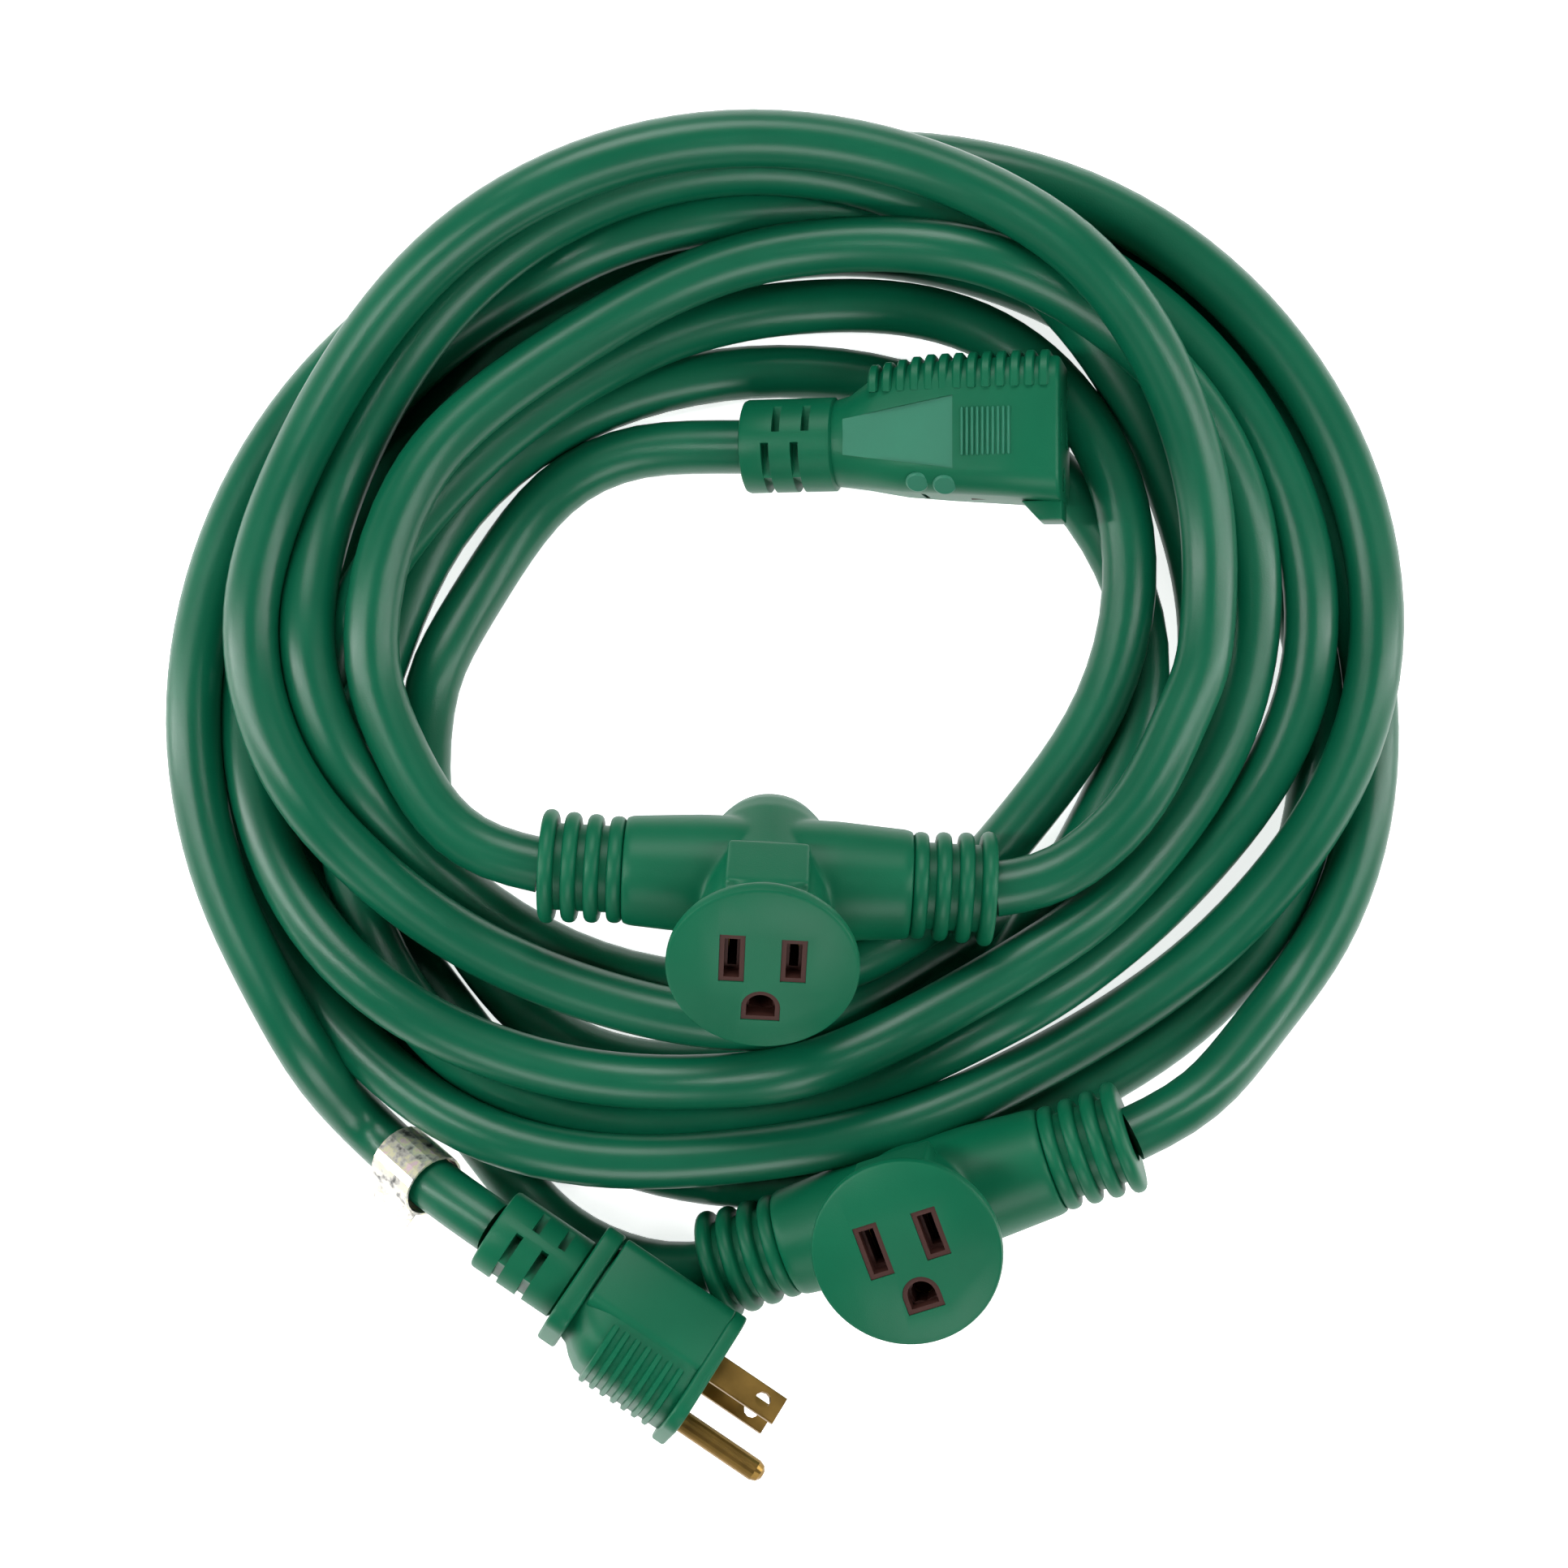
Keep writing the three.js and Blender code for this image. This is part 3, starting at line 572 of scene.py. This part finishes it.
def loft(name, sections):
    """Outlines of the same number of (y, z) points at rising x, skinned and capped."""
    count = len(sections[0][1])
    vertices = [(x, y, z) for x, outline in sections for y, z in outline]
    faces = []
    for i in range(len(sections) - 1):
        for k in range(count):
            m = (k + 1) % count
            faces.append((i * count + k, i * count + m, (i + 1) * count + m, (i + 1) * count + k))
    last = (len(sections) - 1) * count
    faces.append(tuple(range(count)))
    faces.append(tuple(range(last, last + count)))
    return new_object(name, vertices, faces)


def applied(piece, kind, **settings):
    """Adds a modifier, applies it and takes it off again."""
    modifier = piece.modifiers.new(kind.lower(), kind)
    for key, value in settings.items():
        setattr(modifier, key, value)
    bpy.context.view_layer.update()
    shape = bpy.data.meshes.new_from_object(piece.evaluated_get(bpy.context.evaluated_depsgraph_get()))
    piece.modifiers.clear()
    old = piece.data
    piece.data = shape
    bpy.data.meshes.remove(old)
    return piece


def remove(*pieces):
    for piece in pieces:
        bpy.data.objects.remove(piece)


def combine(name, parts):
    """Several shapes as one mesh, without any joining of their surfaces."""
    work = bmesh.new()
    for part in parts:
        work.from_mesh(part.data)
    mesh = bpy.data.meshes.new(name)
    work.to_mesh(mesh)
    work.free()
    remove(*parts)
    piece = bpy.data.objects.new(name, mesh)
    bpy.context.scene.collection.objects.link(piece)
    return piece


def melted(piece, voxel, rounds, strength=0.5):
    """Overlapping shapes run together into one skin with soft inner corners."""
    applied(piece, "REMESH", mode="VOXEL", voxel_size=voxel)
    applied(piece, "SMOOTH", factor=strength, iterations=rounds)
    return piece


def carved(piece, *cutters):
    for cutter in cutters:
        applied(piece, "BOOLEAN", operation="DIFFERENCE", object=cutter, solver="EXACT")
    remove(*cutters)
    return piece


def softened(piece, width, segments=2, angle=35):
    return applied(
        piece, "BEVEL", width=width, segments=segments, limit_method="ANGLE",
        angle_limit=math.radians(angle), harden_normals=False,
    )


def finished(piece, place, material, stands_for=()):
    piece.data.transform(placed(place))
    for face in piece.data.polygons:
        face.use_smooth = True
    piece.data.set_sharp_from_angle(angle=math.radians(SHARP_ANGLE))
    piece.data.materials.clear()
    piece.data.materials.append(material)
    if stands_for:
        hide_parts(*stands_for)
    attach(piece, "root")
    return piece


# ================= outlet face =================
def prism_z(name, corners, low, high):
    """A flat shape with straight sides between two heights."""
    count = len(corners)
    vertices = [(x, y, z) for z in (low, high) for x, y in corners]
    faces = [tuple(range(count)), tuple(range(count, 2 * count))]
    for k in range(count):
        m = (k + 1) % count
        faces.append((k, m, count + m, count + k))
    return new_object(name, vertices, faces)


def face_cutters(low, high, grow=0.0):
    """The two blade openings, the left one longer, and the ground opening with its round top."""
    cutters = []
    for name, x, tall in (("neutral", -BLADE_OFFSET, 9.6), ("hot", BLADE_OFFSET, 8.6)):
        half = 1.6 + grow
        cutters.append(
            block(
                "cut_" + name,
                (x - half, SLOT_LINE - tall / 2 - grow, low),
                (x + half, SLOT_LINE + tall / 2 + grow, high),
            )
        )
    radius = 3 + grow
    outline = []
    for step in range(16):
        turn = math.pi * step / 15
        outline.append((radius * math.cos(turn), PIN_LINE + radius * math.sin(turn)))
    outline += [(-radius, PIN_LINE - 2.4 - grow), (radius, PIN_LINE - 2.4 - grow)]
    cutters.append(prism_z("cut_ground", outline, low, high))
    return cutters


# ================= tap =================
def relief_profile(start, rings, core, end):
    """Rounded rings along a strain relief, with deep grooves between them."""
    pitch = (end - start) / len(rings)
    profile = [(core, start - 1)]
    for i, radius in enumerate(rings):
        left = start + i * pitch + 1.5
        right = start + (i + 1) * pitch
        middle = (left + right) / 2
        half = (right - left) / 2
        profile.append((core, left))
        for k in range(1, 8):
            angle = math.pi * k / 8
            bulge = core + (radius - core) * math.sin(angle) ** 0.45
            profile.append((bulge, middle - half * math.cos(angle)))
        profile.append((core, right))
    profile.append((5.8, end))
    profile.append((5.8, end - 2))
    return profile


def tap_shell():
    """Arms, crossing outlet neck and rear dome run together, with ringed strain reliefs."""
    arm = [(0.1, -31), (11.4, -31), (11.9, -29.5), (12.9, -15), (13.1, 0)]
    arm += [(r, -x) for r, x in reversed(arm[:-1])]
    arm_piece = turned("arm", arm, along="X")
    neck = [(0.1, -22), (3, -21.8), (6, -20.9), (9, -18.9), (11.4, -16), (13, -12.3), (13.75, -8)]
    neck += [(13.75, 14), (13.9, 19), (14.6, 23), (16.0, 27), (17.2, 30.5), (0.1, 30.5)]
    neck_piece = turned("neck", neck)
    plate = softened(block("plate", (-8.75, 4, 8), (8.75, 14.9, 23.5)), 0.6)
    body = melted(combine("tap_shell", [arm_piece, neck_piece, plate]), 0.55, 5)
    well = turned("well", [(11.7, 12.5), (11.7, 40)])
    lobe = turned("lobe", [(4, 12.5), (4, 40)])
    lobe.data.transform(Matrix.Translation((0, PIN_LINE, 0)))
    carved(body, well, lobe)
    rings = (11.6, 11.8, 12.0, 12.4)
    right = turned("right", relief_profile(TAP_ARM_END, rings, 9.4, TAP_RELIEF_END), along="X")
    left = turned("left", relief_profile(TAP_ARM_END, rings, 9.4, TAP_RELIEF_END), along="X")
    left.data.transform(Matrix.Rotation(math.pi, 4, "Z"))
    return combine("tap_shell", [body, right, left])


def outlet_disc():
    """The round face with its three openings."""
    r = TAP_FACE_R
    z = TAP_FACE_Z
    profile = [(13, 29.5), (17, 29.7), (19.2, 30.3), (r - 0.2, 31), (r, 31.6)]
    profile += [(r, z - 0.9), (r - 0.25, z - 0.3), (r - 0.8, z)]
    disc = turned("disc", profile, sides=96)
    return carved(disc, *face_cutters(25, 40, FRAME_WIDTH))


def slot_frames():
    """Dark brown frames, a little sunk, round each opening of the face."""
    frames = face_cutters(30.5, TAP_FACE_Z - 0.25, FRAME_WIDTH - 0.05)
    cutters = face_cutters(25, 40)
    parts = [carved(whole, cutter) for whole, cutter in zip(frames, cutters)]
    return combine("frames", parts)


def add_tap(name, place, materials):
    shell = tap_shell()
    shell.name = name + "_shell"
    disc = outlet_disc()
    disc.name = name + "_face"
    green = materials["moulding"]
    finished(shell, place, green, [name + "_body"])
    finished(disc, place, green)
    frames = slot_frames()
    frames.name = name + "_frames"
    finished(frames, place, materials["carrier"])
    return [shell, disc, frames]


# ================= connector =================
def slotted_relief(name, length, radius, neck, count=2):
    """A plain strain relief with short slots on one side and longer, wrapping slots on the other."""
    profile = [(7.4, 0), (radius - 1.0, 0), (radius - 0.3, 0.3), (radius, 1.0), (radius, length - 0.4),
               (radius - 0.5, length), (neck, length + 0.2), (neck, length + 4)]
    relief = turned(name, profile, along="X")
    cutters = []
    floor = radius * 0.66
    for i in range(count):
        x = 5.2 + i * 6.6
        for low, high in ((floor, radius + 1), (-radius - 1, -floor)):
            cutters.append(block("slot", (x, -radius - 1, low), (x + 1.8, -0.6, high)))
            cutters.append(block("slot", (x + 2.4, 1.8, low), (x + 4.2, radius + 1, high)))
        cutters.append(block("slot", (x, -radius - 1, -radius), (x + 1.8, -0.76 * radius, radius)))
    return carved(relief, *cutters)


def connector_sections():
    """Outlines from the strain relief to the outlet face: round at first, then wide and flat-sided."""
    plan = [
        (20.5, -9.4, 9.6, 9.6, 9.2),
        (24, -9.8, 10.4, 10.0, 9.0),
        (28, -10.3, 13.0, 10.6, 8.4),
        (31, -10.8, 15.2, 11.2, 7.6),
        (36, -11.6, 16.2, 12.2, 6.8),
        (46, -12.4, 16.6, 13.5, 6.2),
        (58, -13.3, 16.8, 13.9, 6.0),
        (70.2, -14.4, 16.8, 13.9, 6.0),
        (71, -14.0, 16.4, 13.5, 5.6),
    ]
    return [(x, rounded_outline((y0, -z), (y1, z), radius)) for x, y0, y1, z, radius in plan]


def edge_wrap(inner, outer, tall, radius):
    """Half a rounded outline: square at the inner side, rounded round the outer side."""
    side = 1 if outer > inner else -1
    middle = outer - side * radius
    outline = [(inner, -tall), (inner, tall)]
    for k in range(ARC_STEPS + 1):
        angle = math.pi / 2 * (1 - k / ARC_STEPS)
        across = middle + side * radius * math.cos(angle)
        outline.append((across, tall - radius + radius * math.sin(angle)))
    for k in range(ARC_STEPS + 1):
        angle = -math.pi / 2 * k / ARC_STEPS
        across = middle + side * radius * math.cos(angle)
        outline.append((across, radius - tall + radius * math.sin(angle)))
    return outline


def wrapping_rib(x, width, inner, outer, tall, radius):
    """One rounded bar that wraps an edge of a moulding from top to bottom."""
    side = 1 if outer > inner else -1
    thin = edge_wrap(inner + side * 0.5, outer - side * 0.45, tall - 0.45, radius)
    full = edge_wrap(inner, outer, tall, radius)
    half = width / 2
    sections = [(x - half, thin), (x - half * 0.6, full), (x + half * 0.6, full), (x + half, thin)]
    return loft("rib", sections)


def connector_frost():
    """The frosted marks: the ribbed pad, two low spots and the sunken panel's floor."""
    parts = []
    for i in range(10):
        x = 50.0 + 1.12 * i
        parts.append(softened(block("line", (x, -4.9, 13.2), (x + 0.6, 5.4, 14.3)), 0.15, 1))
    for x in (40.2, 46.2):
        spot = turned("spot", [(0.1, 0), (2.6, 0), (2.6, 0.35), (2.2, 0.7), (0.1, 0.8)], sides=24)
        spot.data.transform(
            Matrix.Translation((x, -9.9 - 0.13 * (x - 40), 10.4 + 0.10 * (x - 40)))
            @ Matrix.Rotation(math.radians(45), 4, "X")
        )
        parts.append(spot)
    panel = prism_z("panel", WINDOW, -0.6, 0.12)
    panel.data.transform(window_place())
    parts.append(panel)
    return combine("connector_frosting", parts)


def window_place():
    """Where the sunken panel lies: on the slope between the strain relief and the outlet."""
    slope = Matrix.Rotation(math.radians(-7.8), 4, "Y")
    return Matrix.Translation((23.5, 0, 9.7)) @ slope @ Matrix.Translation((-23.5, 0, 0))


def connector_details():
    """Grips along the upper edge and the corner nub."""
    parts = []
    for i in range(13):
        x = 30.4 + 3.12 * i
        outer = min(18.0, 16.3 + 0.45 * i)
        tall = min(14.5, 11.9 + 0.33 * i)
        parts.append(wrapping_rib(x, 2.2, 9.6, outer, tall, 5.6))
    nub = [(62, -14.0), (66, -18.3), (71, -18.3), (71, -14.0)]
    parts.append(softened(prism_z("nub", nub, -5.5, 5.5), 0.5))
    return parts


def add_connector(materials):
    body = loft("connector_shell", connector_sections())
    body = softened(body, 0.4)
    hollow = loft("hollow", [(40, rounded_outline((-12, -11.8), (11.8, 11.8), 8)),
                             (68.2, rounded_outline((-12, -11.8), (11.8, 11.8), 8))])
    carved(body, hollow)
    cutters = face_cutters(-5, 5)
    turn = Matrix.Translation((CONNECTOR_LENGTH, 0, 0)) @ Matrix.Rotation(math.pi / 2, 4, "Y")
    for cutter in cutters:
        cutter.data.transform(turn)
    carved(body, *cutters)
    window = prism_z("window", WINDOW, 0, 8)
    window.data.transform(window_place())
    carved(body, window)
    relief = slotted_relief("relief", 20.7, 10.4, 9.4)
    shell = combine("connector_shell", [body, relief, *connector_details()])
    finished(shell, CONNECTOR, materials["moulding"], ["connector_body"])
    frost = connector_frost()
    finished(frost, CONNECTOR, materials["frosted"])
    return [shell, frost]


# ================= plug =================
def plug_sections():
    plan = [
        (25.2, -10.8, 10.6, 9.8, 7.5),
        (27, -11.4, 11.2, 10.2, 7.6),
        (29, -13.2, 11.8, 10.9, 7.8),
        (31.5, -14.8, 12.1, 11.4, 7.8),
        (35, -15.4, 12.2, 11.6, 7.8),
        (47, -15.4, 12.2, 11.6, 7.8),
        (53.9, -15.4, 12.2, 11.6, 7.8),
    ]
    return [(x, rounded_outline((y0, -z), (y1, z), radius)) for x, y0, y1, z, radius in plan]


def plug_details():
    """Grip ribs that wrap the side towards the pin."""
    return [wrapping_rib(34.2 + 2.75 * i, 1.5, -5.6, -16.1, 12.25, 7.9) for i in range(7)]


def add_plug(materials):
    relief = slotted_relief("relief", 20.7, 9.5, 8.2)
    plate = softened(
        loft("plate", [(20.9, rounded_outline((-13, -11), (13, 11), 5)),
                       (25.4, rounded_outline((-13, -11), (13, 11), 5))]), 0.7, 3)
    body = softened(loft("body", plug_sections()), 0.5)
    flange = softened(
        loft("flange", [(PLUG_FLANGE[0], rounded_outline((-17, -12.6), (12.8, 12.6), 6)),
                        (PLUG_FLANGE[1], rounded_outline((-17, -12.6), (12.8, 12.6), 6))]), 0.6, 3)
    panel = softened(
        loft("panel", [(26, rounded_outline((-5.2, -12.3), (12.0, 12.3), 3)),
                       (54, rounded_outline((-5.2, -12.3), (12.0, 12.3), 3))]), 0.5, 3)
    piece = combine("plug_shell", [relief, plate, body, flange, panel, *plug_details()])
    return finished(piece, PLUG, materials["moulding"], ["plug_body"])


# ================= the whole =================
def repaint(materials):
    """Gives every CAD piece that still shows its own material."""
    slots = {part["node"]: part["material_slot"] for part in frame["record"]["subparts"]}
    for name, piece in frame["nodes"].items():
        piece.data.materials.clear()
        piece.data.materials.append(materials[slots[name]])


def declare_cords():
    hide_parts("cord_plug_lead", "cord_tap_2_right")
    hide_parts("cord_tap_2_left", "cord_tap_1_right", "cord_coil")
    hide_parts("cord_tap_1_left", "cord_connector_lead")


add_camera()
materials = make_materials()
cords = add_cords(materials["jacket"])
repaint(materials)
taps = [add_tap("tap_1", TAP_1, materials), add_tap("tap_2", TAP_2, materials)]
connector = add_connector(materials)
plug = add_plug(materials)
declare_cords()
add_floor()
add_studio()
